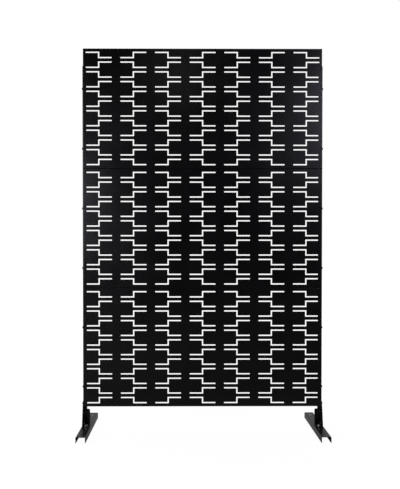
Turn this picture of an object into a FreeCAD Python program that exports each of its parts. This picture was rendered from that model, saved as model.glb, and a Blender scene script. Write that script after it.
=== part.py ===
import FreeCAD, Part
import math
import os

# A free-standing privacy screen of folded sheet steel, in millimetres.
# +Z is up, the front faces -Y, and the origin is on the floor between the middles of the two feet.

# Panels: alike trays, stacked edge on edge, named from the bottom up
PANEL_NAMES = ("bottom_panel", "middle_panel", "top_panel")
SEAM_NAMES = ("lower_seam", "upper_seam")
PANEL_WIDTH = 1219.2
PANEL_HEIGHT = 609.6
PANEL_DEPTH = 25.0
PANEL_SHEET = 1.0
PANEL_BEND = 1.2
CORNER_RELIEF = 3.0
GROUND_GAP = 127.0
FACE_AHEAD = 23.3

# Slots: stepped cuts of two level arms joined by a riser, turned over from one to the next
SLOT_WIDTH = 6.35
SLOT_SPAN = 131.4
ARM_BRIDGE = 20.35
COLUMN_BRIDGE = 45.0
ROW_BRIDGE = 16.35
EDGE_BRIDGE = 12.0

# Uprights: folded angles outside the panels' side flanges, each side in two lengths that butt
ANGLE_SHEET = 2.5
ANGLE_BEND = 1.5
ANGLE_BACK_LEG = 15.0
ANGLE_SETBACK = 1.0
UPRIGHT_TOP_DROP = 89.0
UPRIGHT_TAIL = 51.0

# Foot brackets: a side plate, a back plate and a base tab folded from one blank
BRACKET_SHEET = 3.0
BRACKET_BEND = 2.0
SIDE_PLATE_RISE = 25.0
SIDE_PLATE_SETBACK = 5.0
SIDE_PLATE_TOE = 23.0
SIDE_PLATE_CORNER = 3.0
SIDE_PLATE_GAP = 1.0
BACK_PLATE_DROP = 20.0
BACK_PLATE_NECK = 18.6
BACK_PLATE_CORNER = 8.0
TAB_WIDTH = 28.1
TAB_REACH = 20.0
TAB_CORNER = 9.0

# Feet: channels with the web up, open at both ends
FOOT_LENGTH = 406.4
FOOT_WIDTH = 48.0
FOOT_HEIGHT = 29.0
FOOT_SHEET = 2.0
FOOT_BEND = 1.5
FOOT_LEDGE = 3.4
FOOT_BOLT_REACH = 19.0
GROUND_HOLE = 11.0
GROUND_HOLE_INSET = 40.2

# Small bolts: round heads with a hexagon socket
BOLT = 6.0
BOLT_HEAD = 10.5
BOLT_HEAD_HEIGHT = 3.3
BOLT_HEAD_ROUNDING = 2.5
BOLT_SOCKET = 4.0
BOLT_SOCKET_DEPTH = 2.0
BOLT_TAIL = 1.5
NUT_FLATS = 10.0
NUT_HEIGHT = 5.0
SIDE_BOLTS_PER_PANEL = 2
SIDE_BOLT_RISE = 101.6
SIDE_BOLT_SETBACK = 8.0
SIDE_BOLT_HEAD = 12.0
SIDE_BOLT_HEAD_HEIGHT = 4.1
SIDE_BOLT_HEAD_ROUNDING = 3.1
SEAM_BOLTS = 2
BRACKET_BOLT_RISE = 14.0
BRACKET_BOLT_DROP = 28.0

# Foot bolts: hexagon heads on a washer
FOOT_BOLT = 8.0
FOOT_BOLT_FLATS = 13.0
FOOT_BOLT_HEAD_HEIGHT = 5.3
FOOT_NUT_HEIGHT = 6.5
FOOT_BOLT_TAIL = 2.0
WASHER = 16.0
WASHER_SHEET = 1.6

# Clearances across a hole and round a thread, and how far a cutter runs past the sheet
HOLE_CLEARANCE = 0.6
FOOT_HOLE_CLEARANCE = 1.0
THREAD_CLEARANCE = 0.2
OVERCUT = 5.0
TOUCH = 1e-6

# Levels and faces that several pieces share; side faces are given for the right-hand side
STACK_TOP = GROUND_GAP + PANEL_HEIGHT * len(PANEL_NAMES)
PANEL_SIDE = PANEL_WIDTH / 2
ANGLE_SIDE = PANEL_SIDE + ANGLE_SHEET
BRACKET_SIDE = ANGLE_SIDE + BRACKET_SHEET
FACE = -FACE_AHEAD
ANGLE_LEG_FRONT = FACE + PANEL_DEPTH + ANGLE_BEND
BACK_PLATE_FRONT = ANGLE_LEG_FRONT + ANGLE_SHEET
BACK_PLATE_REAR = BACK_PLATE_FRONT + BRACKET_SHEET
BRACKET_FOLD = BACK_PLATE_FRONT - BRACKET_BEND
FLANGE_MIDDLE = FACE + (PANEL_SHEET + PANEL_DEPTH) / 2
SIDE_BOLT_PLACE = FACE + SIDE_BOLT_SETBACK
FOOT_SIDE = BRACKET_SIDE + FOOT_LEDGE
FOOT_MIDDLE = FOOT_SIDE - FOOT_WIDTH / 2
FOOT_BOLT_PLACE = FACE - FOOT_BOLT_REACH
SIDE_BOLT_PITCH = PANEL_HEIGHT / SIDE_BOLTS_PER_PANEL
SIDE_BOLT_LEVELS = [
    GROUND_GAP + SIDE_BOLT_RISE + n * SIDE_BOLT_PITCH
    for n in range(SIDE_BOLTS_PER_PANEL * len(PANEL_NAMES))
]
SEAM_BOLT_PITCH = PANEL_WIDTH / SEAM_BOLTS
SEAM_BOLT_PLACES = [(n + 0.5) * SEAM_BOLT_PITCH - PANEL_SIDE for n in range(SEAM_BOLTS)]
BRACKET_BOLT_LEVELS = [GROUND_GAP - BRACKET_BOLT_DROP, GROUND_GAP + BRACKET_BOLT_RISE]

Vector = FreeCAD.Vector
ORIGIN = Vector(0, 0, 0)
ALONG_X = Vector(1, 0, 0)
ALONG_Y = Vector(0, 1, 0)
ALONG_Z = Vector(0, 0, 1)
# A view's two drawing axes, and the axis that its outlines are drawn out along
PLAN = (ALONG_X, ALONG_Y, ALONG_Z)
FRONT = (ALONG_X, ALONG_Z, ALONG_Y)
SIDE = (ALONG_Y, ALONG_Z, ALONG_X)


def block(low, high):
    """A box between two corners."""
    size = Vector(*high) - Vector(*low)
    return Part.makeBox(size.x, size.y, size.z, Vector(*low))


def rounded_outline(points, radii):
    """Closed flat wire through points, with a tangent arc in place of each corner that has a radius."""
    starts = []
    ends = []
    arcs = []
    for index, radius in enumerate(radii):
        here = points[index]
        back = (points[index - 1] - here).normalize()
        on = (points[(index + 1) % len(points)] - here).normalize()
        half_angle = back.getAngle(on) / 2
        reach = radius / math.tan(half_angle)
        starts.append(here + back * reach)
        ends.append(here + on * reach)
        middle = here + (back + on).normalize() * (radius / math.sin(half_angle) - radius)
        arcs.append(Part.Arc(starts[-1], middle, ends[-1]).toShape() if radius else None)
    edges = []
    for index, arc in enumerate(arcs):
        if arc:
            edges.append(arc)
        next_start = starts[(index + 1) % len(points)]
        if ends[index].distanceToPoint(next_start) > TOUCH:
            edges.append(Part.LineSegment(ends[index], next_start).toShape())
    return Part.Wire(edges)


def prism(corners, view, start, length):
    """Solid of an outline of (u, v, radius) in a view, drawn out from start along the view's third axis."""
    across, up, out = view
    points = [across * u + up * v + out * start for u, v, _ in corners]
    face = Part.Face(rounded_outline(points, [radius for _, _, radius in corners]))
    return face.extrude(out * length)


def drill(place, direction, diameter):
    """Round cutter through the sheets at a place."""
    return Part.makeCylinder(diameter / 2, 2 * OVERCUT, place - direction * OVERCUT, direction)


def hexagon(flats, height):
    """Hexagon bar on the Z axis, standing on the plane z = 0."""
    radius = flats / math.sqrt(3)
    corners = [
        (radius * math.cos(n * math.pi / 3), radius * math.sin(n * math.pi / 3), 0) for n in range(6)
    ]
    return prism(corners, PLAN, 0, height)


def chamfered(bar, flats, height):
    """A hexagon bar with its corners turned off to a cone at both ends."""
    radius = flats / math.sqrt(3)
    chamfer = radius - flats / 2
    turned = Part.makeCylinder(radius, height)
    return bar.common(turned.makeChamfer(chamfer, [e for e in turned.Edges if len(e.Vertexes) == 1]))


def set_on(shape, place, direction):
    """A copy of a piece made on the Z axis, with its origin at a place and its axis along a direction."""
    placed = shape.copy()
    placed.Placement = FreeCAD.Placement(place, FreeCAD.Rotation(ALONG_Z, direction))
    return placed


def mirrored(shape):
    """The left-hand copy of a right-hand piece."""
    return shape.mirror(ORIGIN, ALONG_X)


def slot(across, up, lead):
    """Cutter for one stepped slot; lead is 1 where its left arm is the high one, or else -1."""
    end = SLOT_SPAN / 2
    half = SLOT_WIDTH / 2
    step = (SLOT_WIDTH + ARM_BRIDGE) / 2
    outline = [
        (-end, step + half),
        (half, step + half),
        (half, -step + half),
        (end, -step + half),
        (end, -step - half),
        (-half, -step - half),
        (-half, step - half),
        (-end, step - half),
    ]
    corners = [(across + u, up + lead * v, 0) for u, v in outline]
    return prism(corners, FRONT, FACE - OVERCUT, PANEL_SHEET + 2 * OVERCUT)


def slots():
    """All the slots of a panel whose bottom edge is at z = 0, as many as its face has room for."""
    column_pitch = SLOT_SPAN + COLUMN_BRIDGE
    slot_height = 2 * SLOT_WIDTH + ARM_BRIDGE
    row_pitch = slot_height + ROW_BRIDGE
    columns = 1 + int((PANEL_WIDTH - 2 * EDGE_BRIDGE - SLOT_SPAN) / column_pitch)
    rows = 1 + int((PANEL_HEIGHT - 2 * EDGE_BRIDGE - slot_height) / row_pitch)
    cutters = []
    for column in range(columns):
        across = (column - (columns - 1) / 2) * column_pitch
        for row in range(rows):
            up = PANEL_HEIGHT / 2 - (row - (rows - 1) / 2) * row_pitch
            cutters.append(slot(across, up, 1 if (row + column) % 2 == 0 else -1))
    return cutters


def front_edges(box, depth):
    """Edges of a box that lie in the plane y = depth."""
    return [e for e in box.Edges if all(abs(v.Y - depth) < TOUCH for v in e.Vertexes)]


def slotted_tray():
    """A panel with its bottom edge at z = 0, not yet drilled: a slotted face and four folded flanges."""
    rear = FACE + PANEL_DEPTH
    outer_bend = PANEL_SHEET + PANEL_BEND
    tray = block((-PANEL_SIDE, FACE, 0), (PANEL_SIDE, rear, PANEL_HEIGHT))
    tray = tray.makeFillet(outer_bend, front_edges(tray, FACE))
    inner = FACE + PANEL_SHEET
    inside = PANEL_SIDE - PANEL_SHEET
    hollow = block((-inside, inner, PANEL_SHEET), (inside, rear + OVERCUT, PANEL_HEIGHT - PANEL_SHEET))
    tray = tray.cut(hollow.makeFillet(PANEL_BEND, front_edges(hollow, inner)))
    reliefs = []
    for side in (-PANEL_SIDE, PANEL_SIDE):
        for level in (0, PANEL_HEIGHT):
            low = (side - CORNER_RELIEF, FACE + outer_bend, level - CORNER_RELIEF)
            high = (side + CORNER_RELIEF, rear + OVERCUT, level + CORNER_RELIEF)
            reliefs.append(block(low, high))
    return tray.cut(reliefs + slots())


def flange_holes(low, high):
    """Cutters for the bolt holes in the flanges of a panel between two levels."""
    hole = BOLT + HOLE_CLEARANCE
    cutters = []
    for side in (-PANEL_SIDE, PANEL_SIDE):
        for place, level in bolt_places(low, high):
            cutters.append(drill(Vector(side, place, level), ALONG_X, hole))
    for level in (low, high):
        for across in SEAM_BOLT_PLACES:
            cutters.append(drill(Vector(across, FLANGE_MIDDLE, level), ALONG_Z, hole))
    return cutters


def panels():
    """The stacked panels by name."""
    tray = slotted_tray()
    stacked = {}
    for index, name in enumerate(PANEL_NAMES):
        low = GROUND_GAP + index * PANEL_HEIGHT
        placed = tray.copy()
        placed.translate(ALONG_Z * low)
        stacked[name] = placed.cut(flange_holes(low, low + PANEL_HEIGHT))
    return stacked


def bolt_places(low, high):
    """Places along Y and levels, between two levels, at which a bolt goes through the upright's side leg."""
    places = [(SIDE_BOLT_PLACE, level) for level in SIDE_BOLT_LEVELS]
    places += [(FLANGE_MIDDLE, level) for level in BRACKET_BOLT_LEVELS]
    return [(place, level) for place, level in places if low < level < high]


def upright(low, high):
    """One length of right-hand upright between two levels, drilled for the bolts that it meets."""
    leg_end = ANGLE_SIDE - ANGLE_BACK_LEG
    angle = prism(
        [
            (PANEL_SIDE, FACE + ANGLE_SETBACK, 0),
            (ANGLE_SIDE, FACE + ANGLE_SETBACK, 0),
            (ANGLE_SIDE, BACK_PLATE_FRONT, ANGLE_SHEET + ANGLE_BEND),
            (leg_end, BACK_PLATE_FRONT, 0),
            (leg_end, ANGLE_LEG_FRONT, 0),
            (PANEL_SIDE, ANGLE_LEG_FRONT, ANGLE_BEND),
        ],
        PLAN,
        low,
        high - low,
    )
    hole = BOLT + HOLE_CLEARANCE
    places = bolt_places(low, high)
    return angle.cut([drill(Vector(ANGLE_SIDE, place, level), ALONG_X, hole) for place, level in places])


def uprights():
    """Both lengths of the right-hand upright, which butt midway between the two middle bolts."""
    middle = len(SIDE_BOLT_LEVELS) // 2
    butt = (SIDE_BOLT_LEVELS[middle - 1] + SIDE_BOLT_LEVELS[middle]) / 2
    return {
        "lower_upright": upright(GROUND_GAP - UPRIGHT_TAIL, butt),
        "upper_upright": upright(butt, STACK_TOP - UPRIGHT_TOP_DROP),
    }


def side_plate():
    """Right-hand bracket's plate outside the upright, with a front edge that slopes out to a toe."""
    top = GROUND_GAP + SIDE_PLATE_RISE
    bottom = FOOT_HEIGHT + SIDE_PLATE_GAP
    corners = [
        (FACE + SIDE_PLATE_SETBACK, top, SIDE_PLATE_CORNER),
        (BRACKET_FOLD, top, 0),
        (BRACKET_FOLD, bottom, 0),
        (FACE - SIDE_PLATE_TOE, bottom, SIDE_PLATE_CORNER),
    ]
    return prism(corners, SIDE, ANGLE_SIDE, BRACKET_SHEET)


def back_plate(inner_edge, flat_edge, bottom):
    """Right-hand bracket's plate behind the upright, with a neck that follows the fold up the side plate."""
    top = GROUND_GAP - BACK_PLATE_DROP
    neck_top = GROUND_GAP + SIDE_PLATE_RISE
    neck_edge = BRACKET_SIDE - BACK_PLATE_NECK
    fold_corners = [
        (ANGLE_SIDE, BRACKET_FOLD, 0),
        (BRACKET_SIDE, BRACKET_FOLD, 0),
        (BRACKET_SIDE, BACK_PLATE_REAR, BRACKET_SHEET + BRACKET_BEND),
        (flat_edge, BACK_PLATE_REAR, 0),
        (flat_edge, BACK_PLATE_FRONT, 0),
        (ANGLE_SIDE, BACK_PLATE_FRONT, BRACKET_BEND),
    ]
    plate_corners = [
        (inner_edge, bottom, 0),
        (flat_edge, bottom, 0),
        (flat_edge, neck_top, 0),
        (neck_edge, neck_top, SIDE_PLATE_CORNER),
        (neck_edge, top, 0),
        (inner_edge, top, BACK_PLATE_CORNER),
    ]
    fold = prism(fold_corners, PLAN, bottom, neck_top - bottom)
    return fold.fuse(prism(plate_corners, FRONT, BACK_PLATE_FRONT, BRACKET_SHEET))


def base_tab(inner_edge, outer_edge, fold_top):
    """Right-hand bracket's tab on the foot, round at its corners, with the fold up to the back plate."""
    top = FOOT_HEIGHT + BRACKET_SHEET
    tip = FOOT_BOLT_PLACE - TAB_REACH
    fold_corners = [
        (BACK_PLATE_REAR, fold_top, 0),
        (BACK_PLATE_FRONT, fold_top, 0),
        (BACK_PLATE_FRONT, top, BRACKET_BEND),
        (BRACKET_FOLD, top, 0),
        (BRACKET_FOLD, FOOT_HEIGHT, 0),
        (BACK_PLATE_REAR, FOOT_HEIGHT, BRACKET_SHEET + BRACKET_BEND),
    ]
    tab_corners = [
        (inner_edge, BRACKET_FOLD, 0),
        (inner_edge, tip, TAB_CORNER),
        (outer_edge, tip, TAB_CORNER),
        (outer_edge, BRACKET_FOLD, 0),
    ]
    fold = prism(fold_corners, SIDE, inner_edge, outer_edge - inner_edge)
    return fold.fuse(prism(tab_corners, PLAN, FOOT_HEIGHT, BRACKET_SHEET))


def foot_bracket():
    """Right-hand foot bracket, folded from one blank and drilled."""
    outer_bend = BRACKET_SHEET + BRACKET_BEND
    flat_edge = BRACKET_SIDE - outer_bend
    inner_edge = flat_edge - TAB_WIDTH
    fold_top = FOOT_HEIGHT + outer_bend
    folded = side_plate().fuse(
        [back_plate(inner_edge, flat_edge, fold_top), base_tab(inner_edge, flat_edge, fold_top)]
    )
    hole = BOLT + HOLE_CLEARANCE
    foot_hole = FOOT_BOLT + FOOT_HOLE_CLEARANCE
    holes = [drill(Vector(FOOT_MIDDLE, FOOT_BOLT_PLACE, FOOT_HEIGHT), ALONG_Z, foot_hole)]
    for level in BRACKET_BOLT_LEVELS:
        holes.append(drill(Vector(BRACKET_SIDE, FLANGE_MIDDLE, level), ALONG_X, hole))
    return folded.removeSplitter().cut(holes)


def foot():
    """Right-hand foot: a channel with its web up, drilled for its clamp bolt and for two ground bolts."""
    outer_bend = FOOT_SHEET + FOOT_BEND
    outer = FOOT_SIDE
    inner = FOOT_SIDE - FOOT_WIDTH
    web = FOOT_HEIGHT - FOOT_SHEET
    channel = prism(
        [
            (inner, 0, 0),
            (inner, FOOT_HEIGHT, outer_bend),
            (outer, FOOT_HEIGHT, outer_bend),
            (outer, 0, 0),
            (outer - FOOT_SHEET, 0, 0),
            (outer - FOOT_SHEET, web, FOOT_BEND),
            (inner + FOOT_SHEET, web, FOOT_BEND),
            (inner + FOOT_SHEET, 0, 0),
        ],
        FRONT,
        -FOOT_LENGTH / 2,
        FOOT_LENGTH,
    )
    ground_place = FOOT_LENGTH / 2 - GROUND_HOLE_INSET
    foot_hole = FOOT_BOLT + FOOT_HOLE_CLEARANCE
    holes = [drill(Vector(FOOT_MIDDLE, FOOT_BOLT_PLACE, web), ALONG_Z, foot_hole)]
    for place in (-ground_place, ground_place):
        holes.append(drill(Vector(FOOT_MIDDLE, place, web), ALONG_Z, GROUND_HOLE))
    return channel.cut(holes)


def round_head(width, height, rounding):
    """Low round bolt head that stands on the plane z = 0, with a hexagon socket in its top."""
    head = Part.makeCylinder(width / 2, height)
    rim = [e for e in head.Edges if len(e.Vertexes) == 1 and e.Vertexes[0].Z > TOUCH]
    head = head.makeFillet(rounding, rim)
    socket = hexagon(BOLT_SOCKET, BOLT_SOCKET_DEPTH + OVERCUT)
    socket.translate(ALONG_Z * (height - BOLT_SOCKET_DEPTH))
    return head.cut(socket)


def small_head():
    """Head of the bolts at the seams and brackets."""
    return round_head(BOLT_HEAD, BOLT_HEAD_HEIGHT, BOLT_HEAD_ROUNDING)


def side_head():
    """Head of the bolts at the panels' sides."""
    return round_head(SIDE_BOLT_HEAD, SIDE_BOLT_HEAD_HEIGHT, SIDE_BOLT_HEAD_ROUNDING)


def bolt_under(head, grip):
    """Small bolt with a head above z = 0 and a shank below for a grip under the head."""
    length = grip + NUT_HEIGHT + BOLT_TAIL
    shank = Part.makeCylinder(BOLT / 2, length, ALONG_Z * -length)
    return head.fuse(shank)


def hexagon_nut(flats, height, thread):
    """Chamfered nut that stands on the plane z = 0, open for its bolt."""
    nut = chamfered(hexagon(flats, height), flats, height)
    return nut.cut(Part.makeCylinder((thread + THREAD_CLEARANCE) / 2, height))


def fastened(seats, outward, grips, head):
    """Alike bolts with heads that point outward from their seats, and a nut beyond each one's grip."""
    bolt = bolt_under(head, max(grips))
    nut = hexagon_nut(NUT_FLATS, NUT_HEIGHT, BOLT)
    bolts = [set_on(bolt, seat, outward) for seat in seats]
    nuts = [set_on(nut, seat - outward * grip, outward * -1) for seat, grip in zip(seats, grips)]
    return Part.makeCompound(bolts), Part.makeCompound(nuts)


def side_fasteners():
    """Right-hand bolts and nuts that hold the panels to the upright, and both to the foot bracket."""
    seats = [Vector(ANGLE_SIDE, SIDE_BOLT_PLACE, level) for level in SIDE_BOLT_LEVELS]
    grips = [ANGLE_SHEET + PANEL_SHEET] * len(seats)
    side_bolts, side_nuts = fastened(seats, ALONG_X, grips, side_head())
    seats = [Vector(BRACKET_SIDE, FLANGE_MIDDLE, level) for level in BRACKET_BOLT_LEVELS]
    low_grip = BRACKET_SHEET + ANGLE_SHEET
    grips = [low_grip, low_grip + PANEL_SHEET]
    bracket_bolts, bracket_nuts = fastened(seats, ALONG_X, grips, small_head())
    return {
        "side_bolts": side_bolts,
        "side_nuts": side_nuts,
        "bracket_bolts": bracket_bolts,
        "bracket_nuts": bracket_nuts,
    }


def seam_fasteners():
    """Bolts and nuts through the two flanges that meet at each seam, from the bottom seam up."""
    pieces = {}
    for index, name in enumerate(SEAM_NAMES):
        seam = GROUND_GAP + (index + 1) * PANEL_HEIGHT
        seats = [Vector(across, FLANGE_MIDDLE, seam + PANEL_SHEET) for across in SEAM_BOLT_PLACES]
        bolts, nuts = fastened(seats, ALONG_Z, [2 * PANEL_SHEET] * len(seats), small_head())
        pieces[name + "_bolts"] = bolts
        pieces[name + "_nuts"] = nuts
    return pieces


def foot_fasteners():
    """Right-hand clamp bolt, washer and nut that hold the bracket's tab on the foot's web."""
    tab_top = FOOT_HEIGHT + BRACKET_SHEET
    head_seat = tab_top + WASHER_SHEET
    nut_seat = FOOT_HEIGHT - FOOT_SHEET
    place = Vector(FOOT_MIDDLE, FOOT_BOLT_PLACE, 0)
    washer = Part.makeCylinder(WASHER / 2, WASHER_SHEET)
    washer = washer.cut(Part.makeCylinder((FOOT_BOLT + THREAD_CLEARANCE) / 2, WASHER_SHEET))
    head = hexagon(FOOT_BOLT_FLATS, FOOT_BOLT_HEAD_HEIGHT)
    head = chamfered(head, FOOT_BOLT_FLATS, FOOT_BOLT_HEAD_HEIGHT)
    length = head_seat - nut_seat + FOOT_NUT_HEIGHT + FOOT_BOLT_TAIL
    bolt = head.fuse(Part.makeCylinder(FOOT_BOLT / 2, length, ALONG_Z * -length))
    nut = hexagon_nut(FOOT_BOLT_FLATS, FOOT_NUT_HEIGHT, FOOT_BOLT)
    return {
        "foot_bolt": set_on(bolt, place + ALONG_Z * head_seat, ALONG_Z),
        "foot_washer": set_on(washer, place + ALONG_Z * tab_top, ALONG_Z),
        "foot_nut": set_on(nut, place + ALONG_Z * nut_seat, ALONG_Z * -1),
    }


def screen():
    """Every piece of the screen by name."""
    right_hand = {"foot_bracket": foot_bracket(), "foot": foot()}
    right_hand.update(uprights())
    right_hand.update(side_fasteners())
    right_hand.update(foot_fasteners())
    pieces = panels()
    pieces.update(seam_fasteners())
    for name, shape in right_hand.items():
        pieces["right_" + name] = shape
        pieces["left_" + name] = mirrored(shape)
    return pieces


os.makedirs("parts", exist_ok=True)
for node, shape in screen().items():
    shape.exportStep("parts/" + node + ".step")
    print(node, len(shape.Solids), "solids", round(shape.Volume / 1000, 2), "cm3, valid", shape.isValid())
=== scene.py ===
import logging
import math
from dataclasses import dataclass, replace
from enum import Enum

import bpy
from mathutils import Matrix, Vector


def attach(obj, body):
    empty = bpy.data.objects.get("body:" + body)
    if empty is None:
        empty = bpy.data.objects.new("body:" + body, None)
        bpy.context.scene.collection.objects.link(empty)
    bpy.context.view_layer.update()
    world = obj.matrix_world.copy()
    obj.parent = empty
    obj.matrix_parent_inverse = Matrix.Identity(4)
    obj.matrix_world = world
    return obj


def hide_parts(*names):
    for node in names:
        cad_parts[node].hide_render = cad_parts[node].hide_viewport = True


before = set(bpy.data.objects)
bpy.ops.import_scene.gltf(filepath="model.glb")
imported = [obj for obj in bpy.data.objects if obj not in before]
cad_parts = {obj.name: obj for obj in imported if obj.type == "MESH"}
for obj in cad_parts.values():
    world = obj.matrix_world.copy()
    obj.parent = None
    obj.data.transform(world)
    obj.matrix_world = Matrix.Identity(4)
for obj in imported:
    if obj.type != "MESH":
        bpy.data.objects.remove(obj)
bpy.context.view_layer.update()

# A free-standing privacy screen of slotted steel panels: its coats, its fasteners and a plain studio.
# Sizes are in metres, in the frame's own axes: +Z is up and the front faces -Y.

LOG = logging.getLogger("privacy_screen")

Colour = tuple[float, float, float]
Place = tuple[float, float, float]
Pair = tuple[float, float]
Profile = list[Pair]

# Modelling: turned pieces, merged points, broken edges, and a thread's crest as shares of its pitch
UP = Vector((0, 0, 1))
TURN_STEPS = 32
WELD = 1e-6
POINT_SEED = 0.001
BREAK_STEPS = 2
BREAK_ANGLE = math.radians(40)
SMOOTH_ANGLE = math.radians(35)
CREST_START = 0.4
CREST_END = 0.6

# Nodes: levels, the size of a speck, and the colour sockets of a Mix node by number, as their names repeat
RISING = (0.0, 1.0)
FALLING = (1.0, 0.0)
SPECK_SPAN = (0.05, 0.35)
MIX_FACTOR = 0
MIX_FIRST = 6
MIX_SECOND = 7
MIX_RESULT = 2


class Side(Enum):
    """The two ends of the screen, as seen from its front."""

    LEFT = -1
    RIGHT = 1

    @property
    def prefix(self) -> str:
        """The start of the names of this side's pieces."""
        return self.name.lower() + "_"

    @property
    def outward(self) -> Vector:
        """The way that points out of the screen on this side."""
        return Vector((self.value, 0, 0))


class Coat(Enum):
    """The coats of the pieces, each with the record's material slot that it belongs to."""

    SATIN = ("satin", "powder_black")
    COARSE = ("coarse", "powder_black")
    MATTE = ("matte", "powder_black")
    OXIDE = ("oxide", "black_fastener")
    ZINC = ("bright zinc", "zinc")
    DULL = ("dull zinc", "zinc")

    @property
    def slot(self) -> str:
        """The record's slot."""
        return self.value[1]


class Body(Enum):
    """The bodies that new pieces ride on."""

    SCREEN = "screen"


class Shaping(Enum):
    """What a second solid does to a piece."""

    CUT = "DIFFERENCE"
    TRIM = "INTERSECT"
    FUSE = "UNION"


class Working(Enum):
    """What a Math node works out."""

    PRODUCT = "MULTIPLY"
    PRODUCT_AND_SUM = "MULTIPLY_ADD"
    LARGER = "MAXIMUM"
    UNSIGNED = "ABSOLUTE"


class Slope(Enum):
    """How a value goes from one level to another."""

    EVEN = "LINEAR"
    SOFT = "SMOOTHSTEP"


# Node building


def add_node(tree: bpy.types.NodeTree, kind: str, **values: object) -> bpy.types.Node:
    """Adds a node and sets its inputs and properties.

    Args:
        tree: The node tree.
        kind: The node's type.
        values: Properties by name, and inputs by name with spaces written as underscores.

    Returns:
        The new node.
    """
    node = tree.nodes.new(kind)
    for name, value in values.items():
        if hasattr(node, name):
            setattr(node, name, value)
        else:
            node.inputs[name.replace("_", " ")].default_value = value
    return node


def join(tree: bpy.types.NodeTree, start: bpy.types.NodeSocket, end: bpy.types.NodeSocket) -> None:
    """Links an output to an input."""
    tree.links.new(start, end)


def worked_out(
    tree: bpy.types.NodeTree, working: Working, *sources: bpy.types.NodeSocket
) -> bpy.types.NodeSocket:
    """Adds a Math node on some values.

    Args:
        tree: The node tree.
        working: What the node works out.
        sources: The values, in the order of the node's inputs.

    Returns:
        The result.
    """
    node = add_node(tree, "ShaderNodeMath", operation=working.value)
    for source, value in zip(sources, node.inputs):
        join(tree, source, value)
    return node.outputs[0]


def ranged(
    tree: bpy.types.NodeTree,
    source: bpy.types.NodeSocket,
    span: Pair,
    levels: Pair,
    slope: Slope = Slope.EVEN,
) -> bpy.types.NodeSocket:
    """Turns a span of a value into two levels and what lies between them.

    Args:
        tree: The node tree.
        source: The value.
        span: Where the value leaves the first level and where it reaches the second.
        levels: The two levels.
        slope: How the value goes between them.

    Returns:
        The result.
    """
    node = add_node(tree, "ShaderNodeMapRange", interpolation_type=slope.value)
    node.inputs["From Min"].default_value, node.inputs["From Max"].default_value = span
    node.inputs["To Min"].default_value, node.inputs["To Max"].default_value = levels
    join(tree, source, node.inputs["Value"])
    return node.outputs["Result"]


def spray_group() -> bpy.types.NodeTree:
    """Builds the shared effect of a sprayed or plated skin: fine peel, cloudy patches and small specks.

    Returns:
        A node group with a Vector and three scales as inputs, and outputs Height, Cloud and Speck.
    """
    group = bpy.data.node_groups.new("sprayed_skin", "ShaderNodeTree")
    group.interface.new_socket("Vector", in_out="INPUT", socket_type="NodeSocketVector")
    for name, value in (("Peel Scale", 600.0), ("Cloud Scale", 5.0), ("Speck Scale", 1800.0)):
        socket = group.interface.new_socket(name, in_out="INPUT", socket_type="NodeSocketFloat")
        socket.default_value = value
    for name in ("Height", "Cloud", "Speck"):
        group.interface.new_socket(name, in_out="OUTPUT", socket_type="NodeSocketFloat")
    start = group.nodes.new("NodeGroupInput")
    end = group.nodes.new("NodeGroupOutput")
    peel = add_node(group, "ShaderNodeTexNoise", Detail=2.0, Roughness=0.45)
    cloud = add_node(group, "ShaderNodeTexNoise", Detail=4.0, Roughness=0.55, Distortion=0.4)
    speck = add_node(group, "ShaderNodeTexVoronoi", feature="F1", Randomness=1.0)
    for node, scale in ((peel, "Peel Scale"), (cloud, "Cloud Scale"), (speck, "Speck Scale")):
        join(group, start.outputs["Vector"], node.inputs["Vector"])
        join(group, start.outputs[scale], node.inputs["Scale"])
    spot = ranged(group, speck.outputs["Distance"], SPECK_SPAN, FALLING)
    join(group, peel.outputs["Fac"], end.inputs["Height"])
    join(group, cloud.outputs["Fac"], end.inputs["Cloud"])
    join(group, spot, end.inputs["Speck"])
    return group


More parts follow.
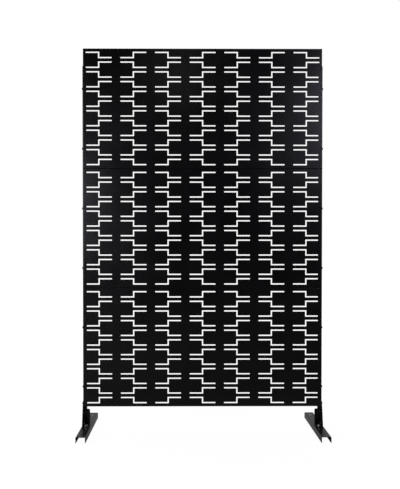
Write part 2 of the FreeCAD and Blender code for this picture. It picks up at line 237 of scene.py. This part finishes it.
@dataclass(frozen=True)
class Finish:
    """A procedural finish of a metal skin, from its darkest to its lightest tone."""

    name: str
    dark: Colour
    light: Colour
    roughness: Pair
    metallic: float
    peel_scale: float
    cloud_scale: float
    speck_scale: float
    speck_tone: Colour
    speck_share: float
    bump: float
    bump_depth: float
    specular: float = 0.5
    tone_span: Pair = (0.32, 0.68)
    roughness_span: Pair = (0.3, 0.7)

    def make(self, skin: bpy.types.NodeTree) -> bpy.types.Material:
        """Builds the material.

        Args:
            skin: The shared sprayed-skin node group.

        Returns:
            The material.
        """
        material = bpy.data.materials.new(self.name)
        material.use_nodes = True
        tree = material.node_tree
        shader = tree.nodes["Principled BSDF"]
        shader.inputs["Metallic"].default_value = self.metallic
        shader.inputs["Specular IOR Level"].default_value = self.specular
        place = add_node(tree, "ShaderNodeTexCoord")
        effect = tree.nodes.new("ShaderNodeGroup")
        effect.node_tree = skin
        effect.inputs["Peel Scale"].default_value = self.peel_scale
        effect.inputs["Cloud Scale"].default_value = self.cloud_scale
        effect.inputs["Speck Scale"].default_value = self.speck_scale
        join(tree, place.outputs["Object"], effect.inputs["Vector"])
        join(tree, self.tone(tree, effect), shader.inputs["Base Color"])
        gloss = ranged(tree, effect.outputs["Cloud"], self.roughness_span, self.roughness)
        join(tree, gloss, shader.inputs["Roughness"])
        bump = add_node(tree, "ShaderNodeBump", Strength=self.bump, Distance=self.bump_depth)
        join(tree, effect.outputs["Height"], bump.inputs["Height"])
        join(tree, bump.outputs["Normal"], shader.inputs["Normal"])
        return material

    def tone(self, tree: bpy.types.NodeTree, effect: bpy.types.Node) -> bpy.types.NodeSocket:
        """Mixes the cloudy tones and the specks.

        Args:
            tree: The material's node tree.
            effect: The sprayed-skin node.

        Returns:
            The colour of the skin.
        """
        cloudy = add_node(tree, "ShaderNodeValToRGB")
        stops = zip(cloudy.color_ramp.elements, self.tone_span, (self.dark, self.light))
        for stop, position, colour in stops:
            stop.position = position
            stop.color = (*colour, 1)
        join(tree, effect.outputs["Cloud"], cloudy.inputs["Fac"])
        share = add_node(tree, "ShaderNodeMath", operation=Working.PRODUCT.value)
        share.inputs[1].default_value = self.speck_share
        join(tree, effect.outputs["Speck"], share.inputs[0])
        mixed = add_node(tree, "ShaderNodeMix", data_type="RGBA")
        mixed.inputs[MIX_SECOND].default_value = (*self.speck_tone, 1)
        join(tree, share.outputs[0], mixed.inputs[MIX_FACTOR])
        join(tree, cloudy.outputs["Color"], mixed.inputs[MIX_FIRST])
        return mixed.outputs[MIX_RESULT]


SATIN_POWDER = Finish(
    name="satin_black_powder_coat",
    dark=(0.0022, 0.0022, 0.0025),
    light=(0.0033, 0.0033, 0.0037),
    roughness=(0.22, 0.28),
    metallic=0.0,
    peel_scale=620.0,
    cloud_scale=4.0,
    speck_scale=1500.0,
    speck_tone=(0.007, 0.007, 0.008),
    speck_share=0.25,
    bump=0.10,
    bump_depth=0.0002,
)
COARSE_POWDER = replace(
    SATIN_POWDER, name="coarse_black_powder_coat", roughness=(0.25, 0.31), bump=0.12, specular=0.42
)
MATTE_POWDER = replace(
    SATIN_POWDER, name="matte_black_powder_coat", roughness=(0.36, 0.42), bump=0.16, specular=0.32
)
BLACK_OXIDE = Finish(
    name="black_oxide_steel",
    dark=(0.020, 0.020, 0.021),
    light=(0.042, 0.040, 0.039),
    roughness=(0.34, 0.48),
    metallic=0.85,
    peel_scale=2600.0,
    cloud_scale=160.0,
    speck_scale=5200.0,
    speck_tone=(0.075, 0.068, 0.060),
    speck_share=0.35,
    bump=0.12,
    bump_depth=0.0001,
)
BRIGHT_ZINC = Finish(
    name="bright_zinc_plate",
    dark=(0.40, 0.41, 0.43),
    light=(0.56, 0.57, 0.57),
    roughness=(0.28, 0.40),
    metallic=1.0,
    peel_scale=2200.0,
    cloud_scale=190.0,
    speck_scale=4800.0,
    speck_tone=(0.27, 0.27, 0.26),
    speck_share=0.30,
    bump=0.10,
    bump_depth=0.0001,
)
# The same zinc plate with only a darker tone, for the washers and nuts
DARKER_ZINC = replace(
    BRIGHT_ZINC,
    name="dull_zinc_plate",
    dark=(0.10, 0.10, 0.11),
    light=(0.17, 0.17, 0.17),
    speck_tone=(0.07, 0.07, 0.07),
)


class Finishes:
    """The finishes of the screen as materials, by coat."""

    def __init__(self) -> None:
        """Builds every material once."""
        skin = spray_group()
        self.by_coat: dict[Coat, bpy.types.Material] = {
            Coat.SATIN: SATIN_POWDER.make(skin),
            Coat.COARSE: COARSE_POWDER.make(skin),
            Coat.MATTE: MATTE_POWDER.make(skin),
            Coat.OXIDE: BLACK_OXIDE.make(skin),
            Coat.ZINC: BRIGHT_ZINC.make(skin),
            Coat.DULL: DARKER_ZINC.make(skin),
        }

    def dress(self, piece: bpy.types.Object, coat: Coat) -> None:
        """Gives a piece the material of a coat, in place of any that it has."""
        piece.data.materials.clear()
        piece.data.materials.append(self.by_coat[coat])


# Modelling


def deselect() -> None:
    """Leaves nothing selected, in object mode."""
    if bpy.context.object and bpy.context.object.mode != "OBJECT":
        bpy.ops.object.mode_set(mode="OBJECT")
    bpy.ops.object.select_all(action="DESELECT")


def pick(pieces: list[bpy.types.Object]) -> None:
    """Selects only some pieces.

    Args:
        pieces: The pieces, with the one that becomes active first.
    """
    deselect()
    for piece in pieces:
        piece.select_set(True)
    bpy.context.view_layer.objects.active = pieces[0]


def turned(name: str, profile: Profile) -> bpy.types.Object:
    """Turns a profile about the Z axis, as on a lathe.

    Args:
        name: The new object's name.
        profile: Points (radius, height), which start and end on the axis or close on themselves.

    Returns:
        The turned piece.
    """
    deselect()
    bpy.ops.mesh.primitive_plane_add(size=POINT_SEED)
    piece = bpy.context.object
    piece.name = name
    bpy.ops.object.mode_set(mode="EDIT")
    bpy.ops.mesh.select_all(action="SELECT")
    bpy.ops.mesh.merge(type="CENTER")
    here = Vector((profile[0][0], 0, profile[0][1]))
    bpy.ops.transform.translate(value=here)
    for radius, height in profile[1:]:
        there = Vector((radius, 0, height))
        bpy.ops.mesh.extrude_region_move(TRANSFORM_OT_translate={"value": there - here})
        here = there
    bpy.ops.mesh.select_all(action="SELECT")
    bpy.ops.mesh.spin(steps=TURN_STEPS, angle=math.tau, center=(0, 0, 0), axis=(0, 0, 1))
    bpy.ops.mesh.select_all(action="SELECT")
    bpy.ops.mesh.remove_doubles(threshold=WELD)
    bpy.ops.mesh.normals_make_consistent(inside=False)
    bpy.ops.object.mode_set(mode="OBJECT")
    return piece


def hexagon_bar(name: str, flats: float, low: float, high: float) -> bpy.types.Object:
    """Adds a hexagon bar on the Z axis between two heights.

    Args:
        name: The new object's name.
        flats: Its size across flats.
        low: The height of its lower end.
        high: The height of its upper end.

    Returns:
        The bar.
    """
    deselect()
    bpy.ops.mesh.primitive_cylinder_add(
        vertices=6, radius=flats / math.sqrt(3), depth=high - low, location=(0, 0, (low + high) / 2)
    )
    bar = bpy.context.object
    bar.name = name
    bpy.ops.object.transform_apply(location=True, rotation=True, scale=True)
    return bar


def combine(piece: bpy.types.Object, tool: bpy.types.Object, shaping: Shaping) -> None:
    """Shapes a piece with a second solid, and removes that solid.

    Args:
        piece: The piece that changes.
        tool: The second solid.
        shaping: What the second solid does.
    """
    pick([piece])
    modifier = piece.modifiers.new("shape", "BOOLEAN")
    modifier.operation = shaping.value
    modifier.solver = "EXACT"
    modifier.object = tool
    bpy.ops.object.modifier_apply(modifier=modifier.name)
    bpy.data.objects.remove(tool)


def soften(piece: bpy.types.Object, width: float) -> None:
    """Breaks a piece's sharp edges and shades it smooth between them.

    Args:
        piece: The piece.
        width: The width of the broken edge.
    """
    pick([piece])
    modifier = piece.modifiers.new("broken_edges", "BEVEL")
    modifier.width = width
    modifier.segments = BREAK_STEPS
    modifier.limit_method = "ANGLE"
    modifier.angle_limit = BREAK_ANGLE
    bpy.ops.object.modifier_apply(modifier=modifier.name)
    bpy.ops.object.shade_smooth_by_angle(angle=SMOOTH_ANGLE)


def copies(pattern: bpy.types.Object, name: str, seats: list[Vector], outward: Vector) -> bpy.types.Object:
    """Sets copies of a piece made on the Z axis at several seats, as one object.

    Args:
        pattern: The piece to copy.
        name: The new object's name.
        seats: Where the piece's origin goes.
        outward: Where the piece's Z axis points.

    Returns:
        The joined copies, with their places in the mesh.
    """
    turn = UP.rotation_difference(outward).to_matrix().to_4x4()
    made = []
    for seat in seats:
        pick([pattern])
        bpy.ops.object.duplicate(linked=False)
        copy = bpy.context.object
        copy.matrix_world = Matrix.Translation(seat) @ turn
        bpy.ops.object.transform_apply(location=True, rotation=True, scale=True)
        made.append(copy)
    pick(made)
    if len(made) > 1:
        bpy.ops.object.join()
    piece = bpy.context.object
    piece.name = name
    return piece


def thread_profile(major: float, depth: float, pitch: float, top: float, bottom: float) -> Profile:
    """The flank points of a thread from its top down to the bolt's plain end.

    Args:
        major: The radius at the crests.
        depth: How deep the roots are.
        pitch: The distance between crests.
        top: The height where the thread starts.
        bottom: The height of the bolt's end.

    Returns:
        Points (radius, height) that end on the axis.
    """
    root = major - depth
    points = [(major, top)]
    height = top - pitch / 2
    while height - pitch > bottom:
        points.append((root, height))
        points.append((major, height - pitch * CREST_START))
        points.append((major, height - pitch * CREST_END))
        height -= pitch
    return points + [(root, height), (root, bottom), (0.0, bottom)]


@dataclass(frozen=True)
class HexagonCorners:
    """How a hexagon's corners are turned off, as shares of its own sizes."""

    face: float
    depth: float = 0.9
    room: float = 1.02

    def profile(self, flats: float, height: float, both_ends: bool) -> Profile:
        """The outline of the turned blank that a hexagon is trimmed with.

        Args:
            flats: The hexagon's size across flats.
            height: The height of the hexagon's upper end.
            both_ends: Whether the corners at the lower end, at z = 0, are turned off too.

        Returns:
            Points (radius, height) from axis to axis.
        """
        corner = flats / math.sqrt(3)
        drop = (corner - flats / 2) * self.depth
        flat = flats / 2 * self.face
        wide = corner * self.room
        lower = [(wide, drop), (flat, 0.0)] if both_ends else [(wide, 0.0)]
        return [(0.0, height), (flat, height), (wide, height - drop)] + lower + [(0.0, 0.0)]


@dataclass(frozen=True)
class RoundHead:
    """The shape of a low round bolt head, with a curve from its upright rim to its flat crown."""

    width: float = 0.0105
    height: float = 0.0033
    rim: float = 0.0007
    crown: float = 0.0028
    seat_inset: float = 0.0002
    steps: int = 8

    def profile(self) -> Profile:
        """The outline from the middle of the crown to the seat.

        Returns:
            Points (radius, height).
        """
        radius = self.width / 2
        points = [(0.0, self.height), (self.crown, self.height)]
        for step in range(1, self.steps):
            angle = step / self.steps * math.pi / 2
            across = self.crown + (radius - self.crown) * math.sin(angle)
            points.append((across, self.rim + (self.height - self.rim) * math.cos(angle)))
        return points + [(radius, self.rim), (radius - self.seat_inset, 0.0)]


@dataclass
class SocketBolt:
    """A round-headed bolt with a hexagon socket and a threaded shank."""

    length: float
    head: RoundHead = RoundHead()
    thread: float = 0.006
    pitch: float = 0.001
    thread_depth: float = 0.00045
    socket: float = 0.004
    socket_depth: float = 0.002
    plain: float = 0.0012
    edge: float = 0.00012

    def build(self, name: str) -> bpy.types.Object:
        """Models the bolt on the Z axis, with its head above the origin.

        Args:
            name: The new object's name.

        Returns:
            The bolt.
        """
        profile = self.head.profile() + [(self.thread / 2, 0.0)]
        profile += thread_profile(self.thread / 2, self.thread_depth, self.pitch, -self.plain, -self.length)
        bolt = turned(name, profile)
        top = self.head.height
        seat = hexagon_bar("socket", self.socket, top - self.socket_depth, 2 * top)
        combine(bolt, seat, Shaping.CUT)
        soften(bolt, self.edge)
        return bolt


@dataclass
class HexagonNut:
    """A nut with turned-off corners and a countersunk bore."""

    flats: float
    height: float
    thread: float
    corners: HexagonCorners = HexagonCorners(face=0.96)
    clearance: float = 0.0001
    sink: float = 0.0004
    past: float = 0.001
    edge: float = 0.00015

    def build(self, name: str) -> bpy.types.Object:
        """Models the nut on the Z axis, standing on the plane z = 0.

        Args:
            name: The new object's name.

        Returns:
            The nut.
        """
        nut = hexagon_bar(name, self.flats, 0.0, self.height)
        blank = turned("blank", self.corners.profile(self.flats, self.height, both_ends=True))
        combine(nut, blank, Shaping.TRIM)
        bore = self.thread / 2 + self.clearance
        wide = bore + self.sink + self.past
        drill = turned(
            "drill",
            [
                (0.0, self.height + self.past),
                (wide, self.height + self.past),
                (bore, self.height - self.sink),
                (bore, self.sink),
                (wide, -self.past),
                (0.0, -self.past),
            ],
        )
        combine(nut, drill, Shaping.CUT)
        soften(nut, self.edge)
        return nut


@dataclass
class HexagonBolt:
    """A hexagon-headed bolt with a washer face and a threaded shank."""

    length: float
    thread: float = 0.008
    pitch: float = 0.00125
    thread_depth: float = 0.0006
    flats: float = 0.013
    head_height: float = 0.0053
    plain: float = 0.006
    corners: HexagonCorners = HexagonCorners(face=0.95)
    washer_face: float = 0.0004
    washer_face_share: float = 0.97
    edge: float = 0.00015

    def build(self, name: str) -> bpy.types.Object:
        """Models the bolt on the Z axis, with its head above the origin.

        Args:
            name: The new object's name.

        Returns:
            The bolt.
        """
        bolt = hexagon_bar(name, self.flats, self.washer_face, self.head_height)
        blank = turned("blank", self.corners.profile(self.flats, self.head_height, both_ends=False))
        combine(bolt, blank, Shaping.TRIM)
        rim = self.flats / 2 * self.washer_face_share
        inside = self.washer_face * 2
        profile = [(0.0, inside), (rim, inside), (rim, 0.0), (self.thread / 2, 0.0)]
        profile += thread_profile(self.thread / 2, self.thread_depth, self.pitch, -self.plain, -self.length)
        combine(bolt, turned("shank", profile), Shaping.FUSE)
        soften(bolt, self.edge)
        return bolt


@dataclass
class Washer:
    """A plain stamped washer with a rolled upper edge."""

    outer: float = 0.016
    bore: float = 0.0082
    sheet: float = 0.0016
    roll: float = 0.0005
    roll_middle: float = 0.3
    edge: float = 0.0001

    def build(self, name: str) -> bpy.types.Object:
        """Models the washer on the Z axis, standing on the plane z = 0.

        Args:
            name: The new object's name.

        Returns:
            The washer.
        """
        rim = self.outer / 2
        hole = self.bore / 2
        middle = self.roll * self.roll_middle
        profile = [
            (hole, 0.0),
            (hole, self.sheet - self.roll / 2),
            (hole + self.roll / 2, self.sheet),
            (rim - self.roll, self.sheet),
            (rim - middle, self.sheet - middle),
            (rim, self.sheet - self.roll),
            (rim, 0.0),
            (hole, 0.0),
        ]
        washer = turned(name, profile)
        soften(washer, self.edge)
        return washer


@dataclass
class Fittings:
    """All the bolts, nuts and washers of the screen, in metres."""

    finishes: Finishes
    flange_middle: float = -0.0103
    side_place: float = -0.0153
    side_head: float = 0.012
    side_head_height: float = 0.0041
    upright_side: float = 0.6121
    bracket_side: float = 0.6151
    panel_bottom: float = 0.127
    panel_height: float = 0.6096
    panel_sheet: float = 0.001
    first_rise: float = 0.1016
    side_pitch: float = 0.3048
    side_count: int = 6
    side_grip: float = 0.0035
    bracket_levels: Pair = (0.099, 0.141)
    bracket_grips: Pair = (0.0055, 0.0065)
    seam_across: float = 0.3048
    seam_grip: float = 0.002
    nut_flats: float = 0.010
    nut_height: float = 0.005
    tail: float = 0.0015
    foot_across: float = 0.5945
    foot_bolt_place: float = -0.0423
    tab_top: float = 0.032
    nut_seat: float = 0.027
    foot_nut_height: float = 0.0065
    foot_tail: float = 0.002

    def keep(self, piece: bpy.types.Object, node: str, coat: Coat) -> None:
        """Dresses a piece, lets it ride and has it stand for its CAD node.

        Args:
            piece: The new piece.
            node: The CAD node that it stands for.
            coat: The coat that it takes.
        """
        self.finishes.dress(piece, coat)
        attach(piece, Body.SCREEN.value)
        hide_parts(node)
        LOG.info("%s stands for %s: %d faces", piece.name, node, len(piece.data.polygons))

    def bolted(
        self,
        name: str,
        seats: list[Vector],
        outward: Vector,
        grips: list[float],
        head: RoundHead = RoundHead(),
    ) -> None:
        """Sets round-headed bolts at their seats and a nut beyond each grip.

        Args:
            name: The start of the two CAD nodes' names.
            seats: Where the heads sit.
            outward: Where the heads point.
            grips: The thickness that each bolt clamps.
            head: The shape of the bolts' heads.
        """
        bolt = SocketBolt(length=max(grips) + self.nut_height + self.tail, head=head).build("bolt_pattern")
        nut = HexagonNut(self.nut_flats, self.nut_height, SocketBolt.thread).build("nut_pattern")
        nut_seats = [seat - outward * grip for seat, grip in zip(seats, grips)]
        self.keep(copies(bolt, name + "_bolts_turned", seats, outward), name + "_bolts", Coat.OXIDE)
        self.keep(copies(nut, name + "_nuts_cut", nut_seats, -outward), name + "_nuts", Coat.OXIDE)
        bpy.data.objects.remove(bolt)
        bpy.data.objects.remove(nut)

    def build_side(self, side: Side) -> None:
        """Builds the bolts and nuts at one end of the panels and on its bracket.

        Args:
            side: The end of the screen.
        """
        levels = [self.panel_bottom + self.first_rise + n * self.side_pitch for n in range(self.side_count)]
        across = side.value * self.upright_side
        seats = [Vector((across, self.side_place, level)) for level in levels]
        head = RoundHead(width=self.side_head, height=self.side_head_height)
        self.bolted(side.prefix + "side", seats, side.outward, [self.side_grip] * len(seats), head)
        across = side.value * self.bracket_side
        seats = [Vector((across, self.flange_middle, level)) for level in self.bracket_levels]
        self.bolted(side.prefix + "bracket", seats, side.outward, list(self.bracket_grips))

    def build_seams(self) -> None:
        """Builds the bolts and nuts through the flanges at both seams."""
        for count, name in ((1, "lower_seam"), (2, "upper_seam")):
            level = self.panel_bottom + count * self.panel_height + self.panel_sheet
            places = (-self.seam_across, self.seam_across)
            seats = [Vector((across, self.flange_middle, level)) for across in places]
            self.bolted(name, seats, UP, [self.seam_grip] * len(seats))

    def build_foot(self, side: Side) -> None:
        """Builds the clamp bolt, washer and nut of one foot.

        Args:
            side: The end of the screen.
        """
        seat = self.tab_top + Washer.sheet
        length = seat - self.nut_seat + self.foot_nut_height + self.foot_tail
        across = side.value * self.foot_across
        bolt = HexagonBolt(length=length)
        nut = HexagonNut(bolt.flats, self.foot_nut_height, bolt.thread)
        parts = (
            (bolt.build("bolt_pattern"), "foot_bolt", seat, UP, Coat.ZINC),
            (Washer().build("washer_pattern"), "foot_washer", self.tab_top, UP, Coat.DULL),
            (nut.build("nut_pattern"), "foot_nut", self.nut_seat, -UP, Coat.DULL),
        )
        for pattern, node, level, outward, coat in parts:
            place = Vector((across, self.foot_bolt_place, level))
            piece = copies(pattern, side.prefix + node + "_bright", [place], outward)
            self.keep(piece, side.prefix + node, coat)
            bpy.data.objects.remove(pattern)

    def build(self) -> None:
        """Builds every fitting."""
        for side in Side:
            self.build_side(side)
            self.build_foot(side)
        self.build_seams()


@dataclass
class SheetWork:
    """The folded sheets of the screen, which keep their CAD shapes."""

    finishes: Finishes
    panels: tuple[str, ...] = ("bottom_panel", "middle_panel", "top_panel")
    uprights: tuple[str, ...] = ("lower_upright", "upper_upright")
    bracket: str = "foot_bracket"
    foot: str = "foot"

    def coats(self) -> dict[str, Coat]:
        """Chooses the coat of each sheet piece.

        Returns:
            The coats, by the names of the nodes.
        """
        chosen = {name: Coat.SATIN for name in self.panels}
        for side in Side:
            chosen.update({side.prefix + name: Coat.SATIN for name in self.uprights})
            chosen[side.prefix + self.bracket] = Coat.MATTE
            chosen[side.prefix + self.foot] = Coat.COARSE
        return chosen

    def dress(self) -> None:
        """Coats the panels, uprights, brackets and feet."""
        for name, coat in self.coats().items():
            self.finishes.dress(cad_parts[name], coat)
            LOG.info("%s coated: %s", name, coat.name)


# Studio


WHITE = (1.0, 1.0, 1.0)
COOL = (0.88, 0.86, 1.0)
COLD = (0.82, 0.81, 1.0)


@dataclass(frozen=True)
class Lamp:
    """A soft rectangular lamp that looks at a target, with its power in watts."""

    name: str
    place: Place
    target: Place
    size: Pair
    power: float
    tint: Colour = WHITE

    def hang(self) -> None:
        """Puts the lamp in the scene."""
        data = bpy.data.lights.new(self.name, "AREA")
        data.shape = "RECTANGLE"
        data.size, data.size_y = self.size
        data.energy = self.power
        data.color = self.tint
        lamp = bpy.data.objects.new(self.name, data)
        bpy.context.scene.collection.objects.link(lamp)
        lamp.location = self.place
        aim = Vector(self.target) - Vector(self.place)
        lamp.rotation_euler = aim.to_track_quat("-Z", "Y").to_euler()


# Broad lamps at the sides and above, narrow ones for the sheen of the two edges, and two small ones
LAMPS = (
    Lamp("far_left_softbox", (-3.8, -2.2, 1.6), (0.0, 0.0, 1.0), (1.6, 2.0), 80.0),
    Lamp("far_right_softbox", (3.8, -2.2, 1.8), (0.0, 0.0, 1.0), (1.6, 2.0), 25.0),
    Lamp("top_softbox", (0.0, 0.6, 3.6), (0.0, 0.0, 0.6), (2.4, 1.6), 30.0),
    Lamp("left_strip", (-1.9, -3.5, 1.48), (0.0, 0.0, 1.1), (0.4, 0.9), 16.3, COOL),
    Lamp("right_strip", (2.2, -3.5, 2.46), (0.0, 0.0, 1.2), (0.4, 0.9), 28.0, COLD),
    Lamp("floor_lamp", (-1.95, -2.3, 1.2), (-1.95, -2.3, 0.0), (0.5, 0.5), 30.0),
    Lamp("ceiling_patch", (-0.16, -3.4, 2.8), (0.0, 0.0, 1.6), (0.3, 0.3), 0.35),
)


@dataclass(frozen=True)
class Floor:
    """A plain pale floor with a faint shadow; deep inside a foot's channel, occlusion darkens its glow as a
    painted shade.
    """

    size: float = 30.0
    seen: float = 0.90
    dim: float = 0.14
    glow: float = 1.04
    shaded_glow: float = 0.04
    share: float = 0.93
    share_span: Pair = (1.0, 3.0)
    mirrored: float = 0.25
    mirrored_span: Pair = (-0.8, 0.3)
    cover_samples: int = 8
    cover_reach: float = 0.06
    cover_span: Pair = (0.20, 0.45)
    deep_span: Pair = (0.10, 0.13)

    def build(self) -> None:
        """Lays the floor."""
        deselect()
        bpy.ops.mesh.primitive_plane_add(size=self.size)
        floor = bpy.context.object
        floor.name = "studio_floor"
        material = bpy.data.materials.new("pale_floor")
        material.use_nodes = True
        self.paint(material.node_tree)
        floor.data.materials.append(material)

    def paint(self, tree: bpy.types.NodeTree) -> None:
        """Mixes a matte floor, which takes shadows, with a glow that keeps it pale.

        Args:
            tree: The material's node tree.
        """
        tree.nodes.remove(tree.nodes["Principled BSDF"])
        matte = tree.nodes.new("ShaderNodeBsdfDiffuse")
        glow = tree.nodes.new("ShaderNodeEmission")
        path = tree.nodes.new("ShaderNodeLightPath")
        tone = ranged(tree, path.outputs["Is Camera Ray"], RISING, (self.dim, self.seen))
        join(tree, tone, matte.inputs["Color"])
        place = tree.nodes.new("ShaderNodeTexCoord").outputs["Object"]
        apart = tree.nodes.new("ShaderNodeSeparateXYZ")
        join(tree, place, apart.inputs[0])
        share = self.glow_share(tree, path, place, apart.outputs["Y"])
        shade = self.channel_shade(tree, path, apart.outputs["Y"])
        level = ranged(tree, shade, RISING, (self.glow, self.shaded_glow))
        join(tree, level, glow.inputs["Strength"])
        mixed = tree.nodes.new("ShaderNodeMixShader")
        join(tree, share, mixed.inputs[0])
        join(tree, matte.outputs[0], mixed.inputs[1])
        join(tree, glow.outputs[0], mixed.inputs[2])
        join(tree, mixed.outputs[0], tree.nodes["Material Output"].inputs["Surface"])

    def glow_share(
        self,
        tree: bpy.types.NodeTree,
        path: bpy.types.Node,
        place: bpy.types.NodeSocket,
        depth: bpy.types.NodeSocket,
    ) -> bpy.types.NodeSocket:
        """Works out how much of the floor glows: most of it as seen, and a part behind as mirrored.

        Args:
            tree: The material's node tree.
            path: The Light Path node.
            place: The place on the floor.
            depth: How far back that place is.

        Returns:
            The share, from none to all.
        """
        reach = add_node(tree, "ShaderNodeVectorMath", operation="LENGTH")
        join(tree, place, reach.inputs[0])
        fade = ranged(tree, reach.outputs["Value"], self.share_span, (self.share, 1.0))
        seen = worked_out(tree, Working.PRODUCT, path.outputs["Is Camera Ray"], fade)
        behind = ranged(tree, depth, self.mirrored_span, (0.0, self.mirrored), Slope.SOFT)
        return worked_out(tree, Working.PRODUCT_AND_SUM, path.outputs["Is Glossy Ray"], behind, seen)

    def channel_shade(
        self, tree: bpy.types.NodeTree, path: bpy.types.Node, depth: bpy.types.NodeSocket
    ) -> bpy.types.NodeSocket:
        """Works out the painted shade under a foot, from occlusion: seen only deep inside it, but mirrored
        along all of it.

        Args:
            tree: The material's node tree.
            path: The Light Path node.
            depth: How far back the place on the floor is.

        Returns:
            The shade, from none to full.
        """
        # Occlusion under the foot darkens the floor's glow: a painted shade
        cover = add_node(
            tree, "ShaderNodeAmbientOcclusion", samples=self.cover_samples, Distance=self.cover_reach
        )
        hidden = ranged(tree, cover.outputs["AO"], self.cover_span, FALLING)
        inward = worked_out(tree, Working.UNSIGNED, depth)
        deep = ranged(tree, inward, self.deep_span, FALLING)
        kept = worked_out(tree, Working.LARGER, deep, path.outputs["Is Glossy Ray"])
        return worked_out(tree, Working.PRODUCT, hidden, kept)


@dataclass
class Studio:
    """The floor, the surroundings, the lamps and the camera."""

    floor: Floor = Floor()
    lamps: tuple[Lamp, ...] = LAMPS
    back_light: float = 0.39
    front_light: float = 0.012
    backdrop_span: Pair = (-0.1, 0.5)
    camera_place: Place = (-0.0853, -2.9814, 0.9697)
    camera_turn: Place = (math.pi / 2 - 0.01443, 0.0, -0.00542)
    lens: float = 42.583
    sensor: float = 36.0
    shift: Pair = (0.02242, 0.01257)

    def build_world(self) -> None:
        """Puts a white backdrop behind the screen and a dim room in front of it."""
        world = bpy.data.worlds.new("studio_room")
        bpy.context.scene.world = world
        world.use_nodes = True
        tree = world.node_tree
        light = tree.nodes["Background"]
        path = tree.nodes.new("ShaderNodeLightPath")
        place = tree.nodes.new("ShaderNodeTexCoord")
        apart = tree.nodes.new("ShaderNodeSeparateXYZ")
        join(tree, place.outputs["Generated"], apart.inputs[0])
        levels = (self.front_light, self.back_light)
        behind = ranged(tree, apart.outputs["Y"], self.backdrop_span, levels, Slope.SOFT)
        most = worked_out(tree, Working.LARGER, path.outputs["Is Camera Ray"], behind)
        light.inputs["Color"].default_value = (1, 1, 1, 1)
        join(tree, most, light.inputs["Strength"])

    def build_camera(self) -> None:
        """Stands the camera at the photograph's viewing angle."""
        data = bpy.data.cameras.new("photo_camera")
        data.lens = self.lens
        data.sensor_width = self.sensor
        data.shift_x, data.shift_y = self.shift
        camera = bpy.data.objects.new("photo_camera", data)
        bpy.context.scene.collection.objects.link(camera)
        camera.location = self.camera_place
        camera.rotation_euler = self.camera_turn
        bpy.context.scene.camera = camera

    def build(self) -> None:
        """Builds the whole studio."""
        bpy.context.scene.view_settings.view_transform = "Standard"
        self.build_camera()
        self.floor.build()
        self.build_world()
        for lamp in self.lamps:
            lamp.hang()


def main() -> None:
    """Builds the studio, dresses the sheets and models the fittings."""
    logging.basicConfig(level=logging.INFO, format="%(message)s")
    finishes = Finishes()
    Studio().build()
    SheetWork(finishes).dress()
    Fittings(finishes).build()
    deselect()


if __name__ == "__main__":
    main()
